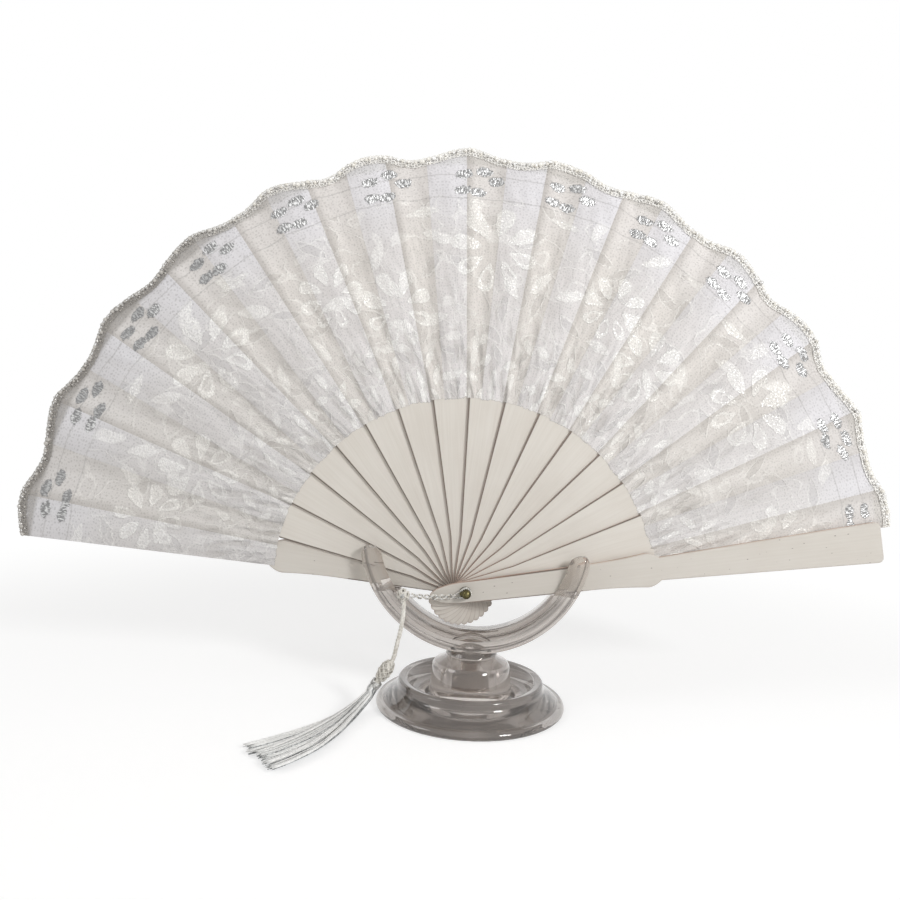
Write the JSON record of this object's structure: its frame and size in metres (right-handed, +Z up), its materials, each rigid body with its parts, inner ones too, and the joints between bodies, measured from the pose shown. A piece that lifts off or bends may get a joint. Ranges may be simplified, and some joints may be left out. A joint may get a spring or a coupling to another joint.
{
  "type": "lace folding fan",
  "caption": "Open lace folding fan with a pleated floral leaf, flat wooden sticks and guards, a ball rivet and a silk tassel, standing in a clear slotted display stand.",
  "frame": {"origin": "centre of the stand's foot, on the table", "axes": "+X to the viewer's right along the open fan, +Y away from the viewer, +Z up"},
  "size_m": [0.4318, 0.1389, 0.2789],
  "materials": {
    "stick_wood": "satin, painted off-white with bare brown edges",
    "guard_wood": "satin, painted off-white, lightly worn",
    "clear_acrylic": "clear, slightly smoky, polished",
    "rivet_metal": "dark polished brass",
    "lace": "white floral lace",
    "braid": "silver thread braid",
    "tassel_thread": "twisted and woven silver-white thread",
    "tassel_silk": "glossy white silk strands"
  },
  "bodies": {
    "stand": {"stand_base": "clear_acrylic", "stand_cradle": "clear_acrylic"},
    "fan_core": {"stick_07": "stick_wood", "rivet_pin": "rivet_metal", "rivet_ball": "rivet_metal", "washer_front": "rivet_metal", "washer_rear": "rivet_metal", "lace_leaf": "lace", "leaf_braid": "braid"},
    "tassel": {"tassel_loop": "tassel_thread", "tassel_bead": "tassel_thread", "tassel_cord": "tassel_thread", "tassel_head": "tassel_thread", "tassel_skirt": "tassel_silk"},
    "stick_01": {"stick_01": "stick_wood"},
    "stick_02": {"stick_02": "stick_wood"},
    "stick_03": {"stick_03": "stick_wood"},
    "stick_04": {"stick_04": "stick_wood"},
    "stick_05": {"stick_05": "stick_wood"},
    "stick_06": {"stick_06": "stick_wood"},
    "stick_08": {"stick_08": "stick_wood"},
    "stick_09": {"stick_09": "stick_wood"},
    "stick_10": {"stick_10": "stick_wood"},
    "stick_11": {"stick_11": "stick_wood"},
    "stick_12": {"stick_12": "stick_wood"},
    "stick_13": {"stick_13": "stick_wood"},
    "stick_14": {"stick_14": "stick_wood"},
    "guard_back": {"guard_back": "guard_wood"},
    "guard_front": {"guard_front": "guard_wood"}
  },
  "joints": [
    {"name": "lift", "type": "slide", "parent": "stand", "child": "fan_core", "axis": [0, 0, 1], "range_m": [0, 0.08]},
    {"name": "fan_fold", "type": "hinge", "parent": "fan_core", "child": "stick_08", "pos_m": [-0.0053, -0.0008, 0.0573], "axis": [0.1907, -0.981, 0.0349], "range_deg": [0, 10.92], "deforming": ["lace_leaf", "leaf_braid"]},
    {"name": "stick_09_turn", "type": "hinge", "parent": "stick_08", "child": "stick_09", "pos_m": [-0.0053, -0.0008, 0.0573], "axis": [0.1907, -0.981, 0.0349], "range_deg": [0, 10.92]},
    {"name": "stick_10_turn", "type": "hinge", "parent": "stick_09", "child": "stick_10", "pos_m": [-0.0053, -0.0008, 0.0573], "axis": [0.1907, -0.981, 0.0349], "range_deg": [0, 10.92]},
    {"name": "stick_11_turn", "type": "hinge", "parent": "stick_10", "child": "stick_11", "pos_m": [-0.0053, -0.0008, 0.0573], "axis": [0.1907, -0.981, 0.0349], "range_deg": [0, 10.92]},
    {"name": "stick_12_turn", "type": "hinge", "parent": "stick_11", "child": "stick_12", "pos_m": [-0.0053, -0.0008, 0.0573], "axis": [0.1907, -0.981, 0.0349], "range_deg": [0, 10.92]},
    {"name": "stick_13_turn", "type": "hinge", "parent": "stick_12", "child": "stick_13", "pos_m": [-0.0053, -0.0008, 0.0573], "axis": [0.1907, -0.981, 0.0349], "range_deg": [0, 10.92]},
    {"name": "stick_14_turn", "type": "hinge", "parent": "stick_13", "child": "stick_14", "pos_m": [-0.0053, -0.0008, 0.0573], "axis": [0.1907, -0.981, 0.0349], "range_deg": [0, 10.92]},
    {"name": "guard_front_turn", "type": "hinge", "parent": "stick_14", "child": "guard_front", "pos_m": [-0.0053, -0.0008, 0.0573], "axis": [0.1907, -0.981, 0.0349], "range_deg": [0, 9.61]},
    {"name": "stick_06_turn", "type": "hinge", "parent": "fan_core", "child": "stick_06", "pos_m": [-0.0053, -0.0008, 0.0573], "axis": [0.1907, -0.981, 0.0349], "range_deg": [-10.92, 0]},
    {"name": "stick_05_turn", "type": "hinge", "parent": "stick_06", "child": "stick_05", "pos_m": [-0.0053, -0.0008, 0.0573], "axis": [0.1907, -0.981, 0.0349], "range_deg": [-10.92, 0]},
    {"name": "stick_04_turn", "type": "hinge", "parent": "stick_05", "child": "stick_04", "pos_m": [-0.0053, -0.0008, 0.0573], "axis": [0.1907, -0.981, 0.0349], "range_deg": [-10.92, 0]},
    {"name": "stick_03_turn", "type": "hinge", "parent": "stick_04", "child": "stick_03", "pos_m": [-0.0053, -0.0008, 0.0573], "axis": [0.1907, -0.981, 0.0349], "range_deg": [-10.92, 0]},
    {"name": "stick_02_turn", "type": "hinge", "parent": "stick_03", "child": "stick_02", "pos_m": [-0.0053, -0.0008, 0.0573], "axis": [0.1907, -0.981, 0.0349], "range_deg": [-10.92, 0]},
    {"name": "stick_01_turn", "type": "hinge", "parent": "stick_02", "child": "stick_01", "pos_m": [-0.0053, -0.0008, 0.0573], "axis": [0.1907, -0.981, 0.0349], "range_deg": [-10.92, 0]},
    {"name": "guard_back_turn", "type": "hinge", "parent": "stick_01", "child": "guard_back", "pos_m": [-0.0053, -0.0008, 0.0573], "axis": [0.1907, -0.981, 0.0349], "range_deg": [-12.45, 0]},
    {"name": "tassel_swing", "type": "hinge", "parent": "fan_core", "child": "tassel", "pos_m": [-0.0053, -0.0008, 0.0573], "axis": [0.1907, -0.981, 0.0349], "range_deg": [-60, 0]}
  ],
  "couplings": [
    {"joint": "stick_09_turn", "follows": "fan_fold", "ratio": 1},
    {"joint": "stick_10_turn", "follows": "fan_fold", "ratio": 1},
    {"joint": "stick_11_turn", "follows": "fan_fold", "ratio": 1},
    {"joint": "stick_12_turn", "follows": "fan_fold", "ratio": 1},
    {"joint": "stick_13_turn", "follows": "fan_fold", "ratio": 1},
    {"joint": "stick_14_turn", "follows": "fan_fold", "ratio": 1},
    {"joint": "guard_front_turn", "follows": "fan_fold", "ratio": 0.87912},
    {"joint": "stick_06_turn", "follows": "fan_fold", "ratio": -1},
    {"joint": "stick_05_turn", "follows": "fan_fold", "ratio": -1},
    {"joint": "stick_04_turn", "follows": "fan_fold", "ratio": -1},
    {"joint": "stick_03_turn", "follows": "fan_fold", "ratio": -1},
    {"joint": "stick_02_turn", "follows": "fan_fold", "ratio": -1},
    {"joint": "stick_01_turn", "follows": "fan_fold", "ratio": -1},
    {"joint": "guard_back_turn", "follows": "fan_fold", "ratio": -1.1392}
  ]
}
